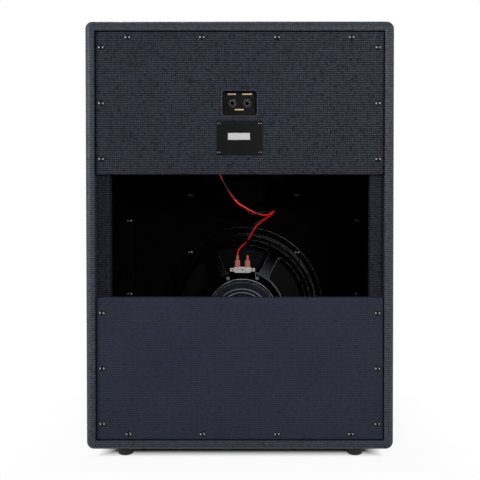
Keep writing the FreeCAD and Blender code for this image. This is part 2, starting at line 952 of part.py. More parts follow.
def thin_sheet(edges, start, end, thickness):
    """A turned sheet between a chain of edges and the same chain moved back."""
    back = [moved(e, 0, thickness, 0) for e in edges]
    first = Vector(start[0], start[1], 0)
    last = Vector(end[0], end[1], 0)
    shift = Vector(0, thickness, 0)
    caps = [
        Part.LineSegment(first, first + shift).toShape(),
        Part.LineSegment(last, last + shift).toShape(),
    ]
    return spin(Part.Wire(Part.__sortEdges__(edges + back + caps)))


def cone_depth_at(radius):
    """Depth of the cone's front face at a radius, on its straight flank."""
    edge = gasket_thickness + cone_edge_depth
    neck = former_inner_radius + former_thickness + cone_neck_gap
    return edge + (cone_edge_radius - radius) * (cone_neck_depth - edge) / (cone_edge_radius - neck)


def cone():
    edge = gasket_thickness + cone_edge_depth
    neck = former_inner_radius + former_thickness + cone_neck_gap
    points = [(cone_edge_radius + cone_lip_width, edge), (cone_edge_radius, edge), (neck, cone_neck_depth)]
    return thin_sheet(lines(points), points[0], points[-1], cone_thickness)


def surround():
    """Rolls between the cone's lip and the flange."""
    depth = gasket_thickness - surround_thickness - surround_seat_gap
    roll_start = cone_edge_radius + cone_lip_width
    points = [(cone_edge_radius, depth), (roll_start, depth)]
    land = [(flange_inner_radius, depth), (flange_inner_radius + surround_land_width, depth)]
    edges = lines(points)
    edges += rolls(roll_start, flange_inner_radius, depth, surround_roll_height, surround_roll_count)
    edges += lines(land)
    return thin_sheet(edges, points[0], land[-1], surround_thickness)


def spider():
    """A corrugated disc in a low cup, from the basket's ledge to the voice coil."""
    land = gasket_thickness + ledge_depth - spider_land_gap - spider_thickness
    middle = land - spider_cup_height
    land_inner = ledge_inner_radius
    roll_start = land_inner - spider_cup_slant
    neck = former_inner_radius + former_thickness + spider_neck_gap
    roll_end = neck + spider_neck_width
    outer = [(land_inner + spider_land_width, land), (land_inner, land), (roll_start, middle)]
    inner = [(roll_end, middle), (neck, middle)]
    edges = lines(outer)
    edges += rolls(roll_start, roll_end, middle, spider_roll_height, spider_roll_count)
    edges += lines(inner)
    return thin_sheet(edges, outer[0], inner[-1], spider_thickness)


def dust_cap():
    """A shallow dome over the voice coil."""
    base = cone_depth_at(dust_cap_radius) - dust_cap_gap - dust_cap_thickness
    rim = Vector(dust_cap_radius, base, 0)
    top = Vector(0, base - dust_cap_height, 0)
    ball = (dust_cap_radius ** 2 + dust_cap_height ** 2) / (2 * dust_cap_height)
    half_angle = math.asin(dust_cap_radius / ball) / 2
    drop = ball * (1 - math.cos(half_angle))
    middle = Vector(ball * math.sin(half_angle), top.y + drop, 0)
    shift = Vector(0, dust_cap_thickness, 0)
    outline = [
        Part.Arc(rim, middle, top).toShape(),
        Part.LineSegment(top, top + shift).toShape(),
        Part.Arc(top + shift, middle + shift, rim + shift).toShape(),
        Part.LineSegment(rim + shift, rim).toShape(),
    ]
    return spin(Part.Wire(outline))


def voice_coil():
    """The former, and the winding that sits round the front plate's gap."""
    plate_front = gasket_thickness + basket_depth
    plate_rear = plate_front + front_plate_thickness
    outer = former_inner_radius + former_thickness
    first = plate_front - winding_overhang
    last = plate_rear + winding_overhang
    former = ring(former_inner_radius, outer, cone_neck_depth - cone_thickness, last + former_tail)
    return former.fuse(ring(outer, outer + winding_thickness, first, last)).removeSplitter()


def basket():
    """The pressed frame: flange, shoulder, spoked wall, spider ledge and base."""
    front = gasket_thickness
    base = front + basket_depth - sheet_thickness
    points = [
        (flange_radius, front),
        (flange_inner_radius, front),
        (shoulder_radius, front + shoulder_depth),
        (wall_top_radius, front + wall_top_depth),
        (ledge_radius, front + ledge_depth),
        (ledge_inner_radius, front + ledge_depth),
        (base_radius, base),
        (base_hole_radius, base),
    ]
    path = Part.makePolygon([Vector(r, a, 0) for r, a in points])
    sheet = path.makeOffset2D(sheet_thickness, 1, True, True)
    shell = sheet.revolve(Vector(0, 0, 0), Vector(0, 1, 0), 360)
    shell = cut_all(shell, basket_windows())
    return shell.fuse(terminal_tongue()).removeSplitter()


def basket_windows():
    """The openings between the spokes, one of them at the top."""
    depth = gasket_thickness + basket_depth
    zone = ring(window_inner_radius, window_outer_radius, 0, depth)
    half_w = spoke_width / 2
    bars = []
    for i in range(spoke_count):
        bar = block(-half_w, half_w, -overrun, depth + overrun, 0, flange_radius)
        bars.append(turned(bar, Vector(0, 1, 0), (i + 1 / 2) * 360 / spoke_count))
    windows = []
    for solid in cut_all(zone, bars).Solids:
        windows.append(round_along(solid, Vector(0, 1, 0), window_round))
    return windows


def terminal_tongue():
    """The lug on the ledge that carries the terminal strip."""
    top = strip_rise + strip_height / 2 - tongue_drop
    half_span = tongue_span / 2
    first = strip_front - tongue_thickness
    return block(-half_span, half_span, first, strip_front, top - tongue_height, top)


def terminal_strip():
    """The fibre strip, its eared ends with eyelets, and its two blade tabs."""
    half_w = strip_width / 2
    half_h = strip_height / 2
    half_ear = ear_span / 2
    strip = block(-half_w, half_w, strip_front, strip_rear, strip_rise - half_h, strip_rise + half_h)
    ears = block(
        -half_ear,
        half_ear,
        strip_front,
        strip_rear,
        strip_rise - ear_height / 2,
        strip_rise + ear_height / 2,
    )
    holes = []
    eye = (ear_span + strip_width) / 4
    for x in (-eye, 0, eye):
        holes.append(rod_y(ear_hole_radius, strip_front - overrun, strip_rear + overrun, x, strip_rise))
    plate = cut_all(strip.fuse(ears).removeSplitter(), holes)
    tabs = []
    for x in tab_places():
        tabs.append(
            block(
                x - tab_width / 2,
                x + tab_width / 2,
                strip_rear,
                strip_rear + tab_thickness,
                strip_rise,
                strip_rise + tab_length,
            )
        )
    return Part.makeCompound([plate] + tabs)


def tab_places():
    return (tab_pitch / 2, -tab_pitch / 2)


def spade_connectors():
    """Insulated push-on connectors over the tabs of the lower speaker."""
    half_w = spade_width / 2
    half_d = spade_depth / 2
    top = spade_bottom_rise + spade_length
    connectors = []
    for x in tab_places():
        barrel = block(
            x - half_w,
            x + half_w,
            spade_middle - half_d,
            spade_middle + half_d,
            spade_bottom_rise,
            top,
        )
        barrel = round_along(barrel, Vector(0, 0, 1), spade_edge_radius)
        neck = Part.makeCylinder(
            spade_neck_radius, spade_neck_length, Vector(x, spade_middle, top), Vector(0, 0, 1)
        )
        slot = block(
            x - tab_width / 2 - spade_slot_clearance,
            x + tab_width / 2 + spade_slot_clearance,
            strip_rear - spade_slot_clearance,
            strip_rear + tab_thickness + spade_slot_clearance,
            strip_rise,
            strip_rise + tab_length + spade_slot_clearance,
        )
        connectors.append(barrel.fuse(neck).removeSplitter().cut(slot))
    return moved(Part.makeCompound(connectors), 0, baffle_rear_y, lower_axis_z)


def speaker(axis_z):
    """All the pieces of one speaker, placed on the baffle."""
    plate_front = gasket_thickness + basket_depth
    plate_rear = plate_front + front_plate_thickness
    magnet_rear = plate_rear + magnet_thickness
    back_rear = magnet_rear + back_plate_thickness
    bore = former_inner_radius + former_thickness + winding_thickness + winding_gap
    land = gasket_thickness - surround_thickness - 2 * surround_seat_gap
    gasket_profile = [
        (flange_inner_radius, 0),
        (flange_radius, 0),
        (flange_radius, gasket_thickness),
        (gasket_step_radius, gasket_thickness),
        (gasket_step_radius, land),
        (flange_inner_radius, land),
        (flange_inner_radius, 0),
    ]
    disc = ring(0, back_plate_radius, magnet_rear, back_rear)
    rim = [e for e in circle_edges(disc, back_plate_radius) if e.CenterOfMass.y > magnet_rear]
    disc = disc.makeFillet(back_plate_edge_radius, rim)
    disc = disc.cut(ring(0, back_plate_dish_radius, back_rear - back_plate_dish_depth, back_rear + overrun))
    pieces = {
        "basket": basket(),
        "gasket": spin(Part.makePolygon([Vector(r, a, 0) for r, a in gasket_profile])),
        "cone": cone(),
        "surround": surround(),
        "dust_cap": dust_cap(),
        "voice_coil": voice_coil(),
        "spider": spider(),
        "front_plate": ring(bore, front_plate_radius, plate_front, plate_rear),
        "magnet": ring(magnet_inner_radius, magnet_radius, plate_rear, magnet_rear),
        "back_plate": disc.fuse(ring(0, pole_radius, plate_front, magnet_rear)).removeSplitter(),
        "terminal_strip": terminal_strip(),
    }
    placed = {name: moved(shape, 0, baffle_rear_y, axis_z) for name, shape in pieces.items()}
    holes = speaker_screw_holes(screw_clearance)
    for name in ("basket", "gasket"):
        placed[name] = cut_all(placed[name], holes)
    return placed


# Wires


def cord(points, diameter):
    """A round tube along straight runs joined by tangent arcs, and the least radius of its arcs."""
    edges = []
    radii = []
    last = points[0]
    for before, here, after in zip(points, points[1:], points[2:]):
        into = (here - before).normalize()
        out = (after - here).normalize()
        turn = into.getAngle(out)
        reach = bend_share * min((here - before).Length, (after - here).Length)
        radius = reach / math.tan(turn / 2)
        start = here - into * reach
        end = here + out * reach
        inward = (out - into).normalize()
        middle = here + inward * (math.hypot(radius, reach) - radius)
        edges.append(Part.LineSegment(last, start).toShape())
        edges.append(Part.Arc(start, middle, end).toShape())
        radii.append(radius)
        last = end
    edges.append(Part.LineSegment(last, points[-1]).toShape())
    path = Part.Wire(edges)
    section = Part.Wire(Part.makeCircle(diameter / 2, points[0], points[1] - points[0]))
    tube = path.makePipeShell([section], True, False)
    return tube, min(radii), path.Length


def fitted_route(route, start, end):
    """The points of a route, moved along with its two ends."""
    points = [Vector(*p) for p in route]
    first = points[0]
    last = points[-1]
    fitted = []
    for point in points:
        share = (first.z - point.z) / (first.z - last.z)
        fitted.append(point + (start - first) * (1 - share) + (end - last) * share)
    return fitted


def wire_between(tag_z, route, tab_x, name):
    """One insulated wire from a jack tag to a spade connector, with its printed measures."""
    start = Vector(jack_places()["input"], tag_end_y, tag_z)
    end = Vector(tab_x, baffle_rear_y + spade_middle, lower_axis_z + spade_top_rise)
    tube, least, length = cord(fitted_route(route, start, end), wire_diameter)
    filled = tube.Volume / (math.pi * wire_diameter ** 2 / 4 * length)
    print(f"{name}: length {length:.1f}, least radius {least:.1f}, filled share {filled:.4f}")
    return tube


def wires():
    """The red wire from the tip tag and the black wire from the sleeve tag of the input jack."""
    tip = jack_z + jack_tag_rise
    sleeve = jack_z - jack_tag_rise
    red_x, black_x = tab_places()
    return {
        "red_wire": wire_between(tip, red_route, red_x, "red_wire"),
        "black_wire": wire_between(sleeve, black_route, black_x, "black_wire"),
    }


def all_nodes():
    """Every piece of the cabinet, by its node's name."""
    nodes = {}
    wood, boards = case_boards()
    nodes.update(boards)
    nodes["case_covering"] = case_covering(wood)
    nodes["rubber_feet"] = rubber_feet()
    nodes["foot_screws"] = foot_screws()
    nodes.update(rear_cleats())
    upper_board, upper_skin = back_panel(upper_panel_bottom, upper_panel_top, upper_panel_cuts())
    lower_board, lower_skin = back_panel(lower_panel_bottom, lower_panel_top, [])
    nodes["upper_back_panel"] = upper_board
    nodes["lower_back_panel"] = lower_board
    nodes["upper_panel_covering"] = upper_skin
    nodes["lower_panel_covering"] = lower_skin
    nodes["back_panel_screws"] = back_panel_screws()
    nodes.update(baffle_cleats())
    nodes.update(baffle_boards())
    nodes["baffle_screws"] = baffle_screws()
    nodes["grille_frame"] = grille_frame()
    nodes["grille_cloth"] = grille_cloth()
    nodes["grille_pads"] = grille_pads()
    nodes["label_plate"] = label_plate()
    nodes["label_plate_screws"] = label_plate_screws()
    nodes["jack_plate"] = jack_plate()
    nodes["jack_plate_screws"] = jack_plate_screws()
    nodes["jack_nuts"] = jack_nuts()
    for name, x in jack_places().items():
        solids = jack_body(x)
        if name == "link":
            solids += jack_links()
        nodes[f"{name}_jack_body"] = Part.makeCompound(solids)
        nodes[f"{name}_jack_spring"] = jack_spring(x)
    for name, axis_z in (("lower", lower_axis_z), ("upper", upper_axis_z)):
        for piece, shape in speaker(axis_z).items():
            nodes[f"{name}_{piece}"] = shape
    nodes["spade_connectors"] = spade_connectors()
    nodes["speaker_screws"] = speaker_screws()
    nodes.update(wires())
    return nodes


os.makedirs("parts", exist_ok=True)
for node, shape in all_nodes().items():
    shape.exportStep(os.path.join("parts", node + ".step"))
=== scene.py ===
import json
import math

import bmesh
import bpy
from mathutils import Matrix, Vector


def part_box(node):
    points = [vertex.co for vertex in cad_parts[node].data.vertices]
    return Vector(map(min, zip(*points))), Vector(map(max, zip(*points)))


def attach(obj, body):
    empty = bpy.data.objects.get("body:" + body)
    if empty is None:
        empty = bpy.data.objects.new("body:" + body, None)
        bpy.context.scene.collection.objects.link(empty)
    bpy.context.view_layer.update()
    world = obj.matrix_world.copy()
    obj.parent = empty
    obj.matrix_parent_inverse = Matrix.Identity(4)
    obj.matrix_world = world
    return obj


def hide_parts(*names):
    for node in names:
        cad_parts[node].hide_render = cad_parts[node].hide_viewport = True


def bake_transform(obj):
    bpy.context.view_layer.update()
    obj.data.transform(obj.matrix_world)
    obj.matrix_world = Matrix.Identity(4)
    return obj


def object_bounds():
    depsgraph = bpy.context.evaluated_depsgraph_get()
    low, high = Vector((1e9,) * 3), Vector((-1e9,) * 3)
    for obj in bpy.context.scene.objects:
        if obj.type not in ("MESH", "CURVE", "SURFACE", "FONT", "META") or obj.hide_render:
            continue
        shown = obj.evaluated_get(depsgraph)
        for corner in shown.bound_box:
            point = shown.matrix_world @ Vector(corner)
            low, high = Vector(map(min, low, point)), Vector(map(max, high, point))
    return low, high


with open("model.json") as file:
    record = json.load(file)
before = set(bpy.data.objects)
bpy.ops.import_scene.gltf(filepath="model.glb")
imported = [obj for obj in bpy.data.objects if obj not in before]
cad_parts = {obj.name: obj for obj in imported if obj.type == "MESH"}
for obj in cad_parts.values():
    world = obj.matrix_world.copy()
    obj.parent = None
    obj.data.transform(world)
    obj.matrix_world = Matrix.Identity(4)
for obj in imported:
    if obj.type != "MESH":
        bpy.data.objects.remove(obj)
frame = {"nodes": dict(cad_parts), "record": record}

# Rear view of an upright guitar speaker cabinet. Metres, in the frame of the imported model:
# the open rear faces +Y, +Z is up, and the origin is on the floor below the middle of the case.

cad_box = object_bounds()
scene = bpy.context.scene
scene.view_settings.view_transform = "Standard"
MM = 0.001
TURN = 2 * math.pi
SPEAKERS = ("lower", "upper")


def rear_of(node):
    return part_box(node)[1].y


def middle_of(node):
    low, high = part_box(node)
    return (low.z + high.z) / 2


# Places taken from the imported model
PANEL_Y = rear_of("upper_panel_covering")
JACK_FACE_Y = rear_of("jack_plate")
LABEL_Y = rear_of("label_plate")
BAFFLE_REAR_Y = rear_of("lower_baffle_board")
JACK_Z = middle_of("jack_plate")
LABEL_Z = middle_of("label_plate")
AXIS_Z = {side: middle_of(side + "_magnet") for side in SPEAKERS}


# Objects

WELD = 1e-7


def put(obj, material, body="cabinet"):
    """Link a new object, give it a material and let it ride on a body."""
    scene.collection.objects.link(obj)
    obj.data.materials.append(material)
    if body:
        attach(obj, body)
    return obj


def mesh_piece(name, points, faces, material, body="cabinet", smooth=True):
    """A mesh from points and faces."""
    mesh = bpy.data.meshes.new(name)
    mesh.from_pydata([tuple(p) for p in points], [], faces)
    built = bmesh.new()
    built.from_mesh(mesh)
    bmesh.ops.remove_doubles(built, verts=built.verts, dist=WELD)
    bmesh.ops.recalc_face_normals(built, faces=built.faces)
    built.to_mesh(mesh)
    built.free()
    for polygon in mesh.polygons:
        polygon.use_smooth = smooth
    return put(bpy.data.objects.new(name, mesh), material, body)


def loft(rows, closed_rows, closed_columns, cap=False):
    """Faces between rows of the same number of points."""
    count = len(rows[0])
    points = [p for row in rows for p in row]
    faces = []
    row_total = len(rows) if closed_rows else len(rows) - 1
    column_total = count if closed_columns else count - 1
    for i in range(row_total):
        for j in range(column_total):
            k = (i + 1) % len(rows)
            m = (j + 1) % count
            faces.append((i * count + j, i * count + m, k * count + m, k * count + j))
    if cap:
        faces.append(tuple(reversed(range(count))))
        last = (len(rows) - 1) * count
        faces.append(tuple(range(last, last + count)))
    return points, faces


def ring_row(profile, angle, centre):
    """A profile of (radius, depth) points, turned by an angle about an axis along Y."""
    x, y, z = centre
    return [(x + r * math.sin(angle), y + d, z + r * math.cos(angle)) for r, d in profile]


def turned(profile, steps, centre):
    """The same profile at even steps all round the axis."""
    return [ring_row(profile, TURN * i / steps, centre) for i in range(steps)]


def in_mm(profile):
    return [(r * MM, d * MM) for r, d in profile]


def rounded_outline(half_width, half_height, radius, steps=6):
    """Points round a rectangle with round corners, with the outward direction at each."""
    outline = []
    for quarter, (sx, sz) in enumerate(((1, 1), (-1, 1), (-1, -1), (1, -1))):
        for i in range(steps + 1):
            angle = (quarter + i / steps) * math.pi / 2
            out = (math.cos(angle), math.sin(angle))
            x = sx * (half_width - radius) + radius * out[0]
            z = sz * (half_height - radius) + radius * out[1]
            outline.append((x, z, out))
    return outline


ROLLED_SHARE = 0.6
INNER_SHARE = 0.3
LEAST_CORNER = 0.2


def flat_patch(name, centre, size, thickness, radius, material):
    """A thin flat patch on a face that looks to +Y, with round corners and a rolled edge."""
    x, y, z = centre
    width, height = size
    edge = thickness * ROLLED_SHARE
    steps = (
        (0.0, 0.0),
        (0.0, thickness - edge),
        (edge, thickness),
        (min(size) * INNER_SHARE, thickness),
    )
    rows = []
    for inset, rise in steps:
        corner = max(radius - inset, radius * LEAST_CORNER)
        outline = rounded_outline(width / 2 - inset, height / 2 - inset, corner)
        rows.append([(x + px, y + rise, z + pz) for px, pz, _ in outline])
    points, faces = loft(rows, False, True, cap=True)
    mesh_piece(name, points, faces, material, smooth=False)


# Materials


class Nodes:
    """A node tree, built node by node."""

    def __init__(self, tree):
        self.nodes = tree.nodes
        self.links = tree.links

    def node(self, kind, inputs=(), **settings):
        made = self.nodes.new(kind)
        for key, value in settings.items():
            setattr(made, key, value)
        for slot, value in dict(inputs).items():
            self.feed(made.inputs[slot], value)
        return made

    def feed(self, socket, value):
        if isinstance(value, bpy.types.NodeSocket):
            self.links.new(value, socket)
        else:
            socket.default_value = value

    def math(self, operation, a, b=0.0, clamp=False):
        return self.node("ShaderNodeMath", {0: a, 1: b}, operation=operation, use_clamp=clamp).outputs[0]

    def times(self, first, *others):
        """The product of two or more values."""
        for other in others:
            first = self.math("MULTIPLY", first, other)
        return first

    def seen(self):
        """1 for the rays that show a surface to the eye: straight, in a mirror or through glass."""
        path = self.node("ShaderNodeLightPath").outputs
        bent = self.math("MAXIMUM", path["Is Glossy Ray"], path["Is Transmission Ray"])
        return self.math("MAXIMUM", path["Is Camera Ray"], bent)


class Look(Nodes):
    """One procedural material."""

    def __init__(self, name, **sockets):
        self.material = bpy.data.materials.new(name)
        self.material.use_nodes = True
        super().__init__(self.material.node_tree)
        self.bsdf = self.nodes["Principled BSDF"]
        for key, value in sockets.items():
            self.bsdf.inputs[key.replace("_", " ")].default_value = value
        self.normal = None

    def place(self):
        """The point in the model's frame, in metres."""
        return self.node("ShaderNodeTexCoord").outputs["Object"]

    def facing(self):
        """The normal's share along each axis, without its sign."""
        normal = self.node("ShaderNodeTexCoord").outputs["Normal"]
        return [self.math("ABSOLUTE", part) for part in self.split(normal)]

    def scaled(self, vector, scale):
        return self.node("ShaderNodeMapping", {"Vector": vector, "Scale": scale}).outputs[0]

    def split(self, vector):
        return self.node("ShaderNodeSeparateXYZ", {0: vector}).outputs

    def join(self, x, y, z):
        return self.node("ShaderNodeCombineXYZ", {0: x, 1: y, 2: z}).outputs[0]

    def noise(self, vector, scale, detail=2.0, rough=0.5):
        inputs = {"Vector": vector, "Scale": scale, "Detail": detail, "Roughness": rough}
        return self.node("ShaderNodeTexNoise", inputs).outputs[0]

    def radius(self, vector, axis_z):
        """How far a point is from a speaker's axis, which runs along Y."""
        x, _, z = self.split(vector)
        rise = self.math("SUBTRACT", z, axis_z)
        return self.math("SQRT", self.math("ADD", self.times(x, x), self.times(rise, rise)))

    def span(self, value, low, high, new_low=0.0, new_high=1.0):
        inputs = {0: value, 1: low, 2: high, 3: new_low, 4: new_high}
        return self.node("ShaderNodeMapRange", inputs).outputs[0]

    def pick(self, mask, chosen, other):
        """One value where the mask is 1, another where it is 0."""
        rest = self.math("SUBTRACT", 1.0, mask)
        return self.math("ADD", self.times(chosen, mask), self.times(other, rest))

    def towards(self, normal, direction):
        """How far a normal points in a direction."""
        inputs = {0: normal, 1: direction}
        return self.node("ShaderNodeVectorMath", inputs, operation="DOT_PRODUCT").outputs["Value"]

    def mix(self, factor, first, second, blend="MIX"):
        made = self.node("ShaderNodeMix", data_type="RGBA", blend_type=blend)
        self.feed(made.inputs[0], factor)
        self.feed(made.inputs[6], first)
        self.feed(made.inputs[7], second)
        return made.outputs[2]

    def bump(self, height, distance, strength=1.0):
        """Stack a bump on whatever shapes the normal so far."""
        made = self.node("ShaderNodeBump", {"Height": height, "Distance": distance, "Strength": strength})
        if self.normal:
            self.links.new(self.normal, made.inputs["Normal"])
        self.normal = made.outputs[0]

    def soft_edges(self, radius):
        """Round the shading over sharp edges, and return how near a point is to one."""
        bevel = self.node("ShaderNodeBevel", {"Radius": radius}, samples=BEVEL_SAMPLES)
        self.normal = bevel.outputs[0]
        flat = self.node("ShaderNodeNewGeometry").outputs["Normal"]
        return self.span(self.towards(self.normal, flat), *EDGE_TURN)

    def done(self, colour, roughness):
        self.feed(self.bsdf.inputs["Base Color"], colour)
        self.feed(self.bsdf.inputs["Roughness"], roughness)
        if self.normal:
            self.links.new(self.normal, self.bsdf.inputs["Normal"])
        return self.material


BEVEL_SAMPLES = 6
EDGE_TURN = (0.995, 0.9)
# Where most values of a noise lie, and the same with fewer of the low ones
SPREAD = (0.3, 0.7)
HIGH_SPREAD = (0.35, 0.7)
NO_TINT = (1.0, 1.0, 1.0)


def grey(level, tint=NO_TINT):
    return (level * tint[0], level * tint[1], level * tint[2], 1.0)


BLUE_BLACK = (0.6, 0.85, 1.8)
GREY_BLACK = (0.78, 0.92, 1.42)
THREAD_PITCH = 3.65 * MM
SLUB_LENGTH = 7 * MM
SLUB_SPREAD = (0.28, 0.68)
THIN_SLUB = 0.32
CREST_SPREAD = (0.15, 0.95)
ROW_JUMP = 7.31
WARP_JUMP = 4.5
WEFT_SHARE = 0.66
WARP_SHARE = 0.34
WEAVE_SPREAD = (0.2, 0.58)
WORN_THREAD = grey(1.16, (1.02, 1.0, 0.96))


def thread(look, across, along, offset):
    """Rows of threads, each broken into slubs of its own."""
    rows = look.math("DIVIDE", across, THREAD_PITCH)
    row = look.times(look.math("FLOOR", rows), ROW_JUMP)
    lengths = look.math("DIVIDE", along, SLUB_LENGTH)
    slub = look.noise(look.join(lengths, row, offset), scale=1.0, detail=1.0)
    crest = look.math("ABSOLUTE", look.math("SINE", look.times(rows, math.pi)))
    return look.times(look.span(slub, *SLUB_SPREAD, THIN_SLUB, 1.0), look.span(crest, *CREST_SPREAD))


def weave_look(name, level, contrast, specular=0.12, rough=(0.72, 0.52), tints=(BLUE_BLACK, GREY_BLACK)):
    """Cloth with a linen weave, laid flat on each face."""
    look = Look(name, Specular_IOR_Level=specular)
    x, y, z = look.split(look.place())
    nx, ny, nz = look.facing()
    on_side = look.math("GREATER_THAN", nx, look.math("MAXIMUM", ny, nz))
    on_top = look.math("GREATER_THAN", nz, look.math("MAXIMUM", nx, ny))
    u = look.pick(on_side, y, x)
    v = look.pick(on_top, y, z)
    weft = thread(look, v, u, 0.0)
    warp = thread(look, u, v, WARP_JUMP)
    both = look.math("ADD", look.times(weft, WEFT_SHARE), look.times(warp, WARP_SHARE))
    slub = look.span(both, *WEAVE_SPREAD)
    wear = look.noise(look.join(u, v, 0.0), scale=9.0)
    look.bump(slub, distance=0.4 * MM, strength=0.6)
    dark = grey(level * (1 - contrast), tints[0])
    light = grey(level * (1 + contrast), tints[1])
    wear_and_glint = look.mix(look.span(wear, *HIGH_SPREAD), grey(1.0), WORN_THREAD)
    colour = look.mix(1.0, look.mix(slub, dark, light), wear_and_glint, blend="MULTIPLY")
    return look.done(colour, look.span(slub, 0.0, 1.0, *rough))


PORE_SCALE = 6
PORE_SHARE = 0.4


def wood_look(name, dark, light, scale, rough, specular):
    """Painted wood with long grain."""
    look = Look(name, Specular_IOR_Level=specular)
    place = look.place()
    grain = look.noise(look.scaled(place, scale), scale=1.0, detail=5.0, rough=0.6)
    pores = look.noise(look.scaled(place, tuple(PORE_SCALE * s for s in scale)), scale=1.0)
    look.bump(look.math("ADD", grain, look.times(pores, PORE_SHARE)), distance=0.25 * MM, strength=0.5)
    return look.done(look.mix(look.span(grain, *SPREAD), dark, light), look.span(pores, *SPREAD, *rough))


# How the painted highlights on edges are broken up into patches
PATCHY = (0.3, 0.62)
EVEN = (0.15, 0.4)
EDGE_PATCH_SCALE = 160.0
# The normal's share towards the rear over which the painted highlight on a rounded rim comes in, and goes
# out
RIM_START = (0.2, 0.45)
RIM_END = (0.98, 0.9)
RIM_HIGHLIGHT = 0.3
DARK_CLOUD = 0.85
LIGHT_CLOUD = 1.2
PEEL_SCALE = 900.0


def paint(look, level, tint, grain=PEEL_SCALE):
    """A fine orange peel and a cloudy colour; returns the point, the clouds and the colour."""
    place = look.place()
    cloud = look.noise(place, scale=45.0, detail=3.0)
    look.bump(look.noise(place, grain), distance=0.06 * MM, strength=0.35)
    shades = grey(level * DARK_CLOUD, tint), grey(level * LIGHT_CLOUD, tint)
    return place, cloud, look.mix(look.span(cloud, *SPREAD), *shades)


def painted_look(
    name, level, tint, edge, radius, rough, specular, grain=PEEL_SCALE, patches=PATCHY, round_rim=False
):
    """Painted or coated metal and moulded plastic, with a painted highlight on the edges, broken into
    patches, if an edge colour is given.
    """
    look = Look(name, Specular_IOR_Level=specular)
    near_edge = look.soft_edges(radius)
    place, cloud, colour = paint(look, level, tint, grain)
    # A painted highlight on the band of a rounded rim, where it turns towards the rear
    if round_rim:
        rearward = look.split(look.node("ShaderNodeNewGeometry").outputs["Normal"])[1]
        rim = look.times(look.span(rearward, *RIM_START), look.span(rearward, *RIM_END), RIM_HIGHLIGHT)
        near_edge = look.math("MAXIMUM", near_edge, rim)
    # Painted highlight: the edges take the edge colour in patches
    if edge:
        broken = look.span(look.noise(place, EDGE_PATCH_SCALE, detail=3.0), *patches)
        colour = look.mix(look.math("MULTIPLY", near_edge, broken, clamp=True), colour, edge)
    return look.done(colour, look.span(cloud, *SPREAD, *rough))


# Where the basket's painted highlight and painted sheen fall: faces that look up and to -X, and the -X side
# more than the +X side
LIT_SIDE = (-0.75, 0.0, 0.66)
LIT_TURN = (0.1, 0.6)
HIGHLIGHT_FADED_X = 40 * MM
HIGHLIGHT_FULL_X = -20 * MM
LEAST_HIGHLIGHT = 0.12
BASKET_LEVEL = 0.001
BASKET_TINT = (1.0, 1.05, 1.2)
BASKET_ROUGH = (0.3, 0.42)
PAINTED_SHEEN = grey(0.1, BASKET_TINT)
EDGE_HIGHLIGHT = grey(0.65)
SPOKE_FOOT = 68 * MM
SPOKE_END = 118 * MM


def basket_look(name, axis_z):
    """Black paint, with a painted sheen at the spokes' feet and a painted highlight on the edges, on faces
    that look up and to -X; the highlight is broken into patches and fades towards +X.
    """
    look = Look(name, Specular_IOR_Level=0.005)
    near_edge = look.soft_edges(radius=1.1 * MM)
    lit_facing = look.span(look.towards(look.normal, LIT_SIDE), *LIT_TURN)
    place, cloud, colour = paint(look, BASKET_LEVEL, BASKET_TINT)
    foot = look.span(look.radius(place, axis_z), SPOKE_END, SPOKE_FOOT)
    # Painted sheen at the spokes' feet, on the faces that look towards the light
    colour = look.mix(look.times(foot, foot, lit_facing), colour, PAINTED_SHEEN)
    # Painted highlight on the edges that look towards the light, broken into patches and fading towards +X
    broken = look.span(look.noise(place, EDGE_PATCH_SCALE, detail=3.0), *PATCHY)
    lit_side_fade = look.span(look.split(place)[0], HIGHLIGHT_FULL_X, HIGHLIGHT_FADED_X, 1.0, LEAST_HIGHLIGHT)
    colour = look.mix(look.times(near_edge, broken, lit_facing, lit_side_fade), colour, EDGE_HIGHLIGHT)
    return look.done(colour, look.span(cloud, *SPREAD, *BASKET_ROUGH))


# The normal's share to either side where the painted glint on a screw head comes in, and goes out,
# and its share up or down where the painted glint goes out
GLINT_START = (0.16, 0.22)
GLINT_END = (0.6, 0.5)
GLINT_HEIGHT = (0.2, 0.12)
SCREW_BLACKS = (grey(0.0015), grey(0.004))
SCREW_ROUGH = (0.1, 0.18)
PAINTED_GLINT = grey(0.36)


def screw_look(name):
    """Blackened steel, with a painted glint in the colour of bare steel on the left and right shoulders of
    each head.
    """
    look = Look(name, Specular_IOR_Level=0.12)
    nx, _, nz = look.facing()
    # Painted glints: the faces of each head that look left or right are coloured like bare steel
    glint_sides = look.times(look.span(nx, *GLINT_START), look.span(nx, *GLINT_END))
    wear_and_glint = look.times(glint_sides, look.span(nz, *GLINT_HEIGHT))
    place = look.place()
    peel = look.noise(place, scale=1600.0)
    cloud = look.noise(place, scale=300.0)
    look.bump(peel, distance=0.01 * MM, strength=0.2)
    colour = look.mix(look.span(cloud, *SPREAD), *SCREW_BLACKS)
    return look.done(look.mix(wear_and_glint, colour, PAINTED_GLINT), look.span(peel, *SPREAD, *SCREW_ROUGH))


def metal_look(name, colour, tarnish, rough=(0.25, 0.45), grain=(300.0, 300.0, 300.0)):
    """Bare metal with fine scratches and a little tarnish."""
    look = Look(name, Metallic=1.0)
    look.soft_edges(radius=0.25 * MM)
    place = look.place()
    scratch = look.noise(look.scaled(place, grain), scale=4.0, detail=3.0)
    stain = look.noise(place, scale=120.0, detail=3.0)
    look.bump(scratch, distance=0.03 * MM, strength=0.4)
    colour = look.mix(look.span(stain, *HIGH_SPREAD), colour, tarnish)
    return look.done(colour, look.span(scratch, *SPREAD, *rough))


DUST_SPREAD = (0.45, 0.75)
DUST_LEVEL = 2.2
DUST_TINT = (1.05, 1.0, 0.92)
RUBBER_ROUGH = (0.6, 0.8)


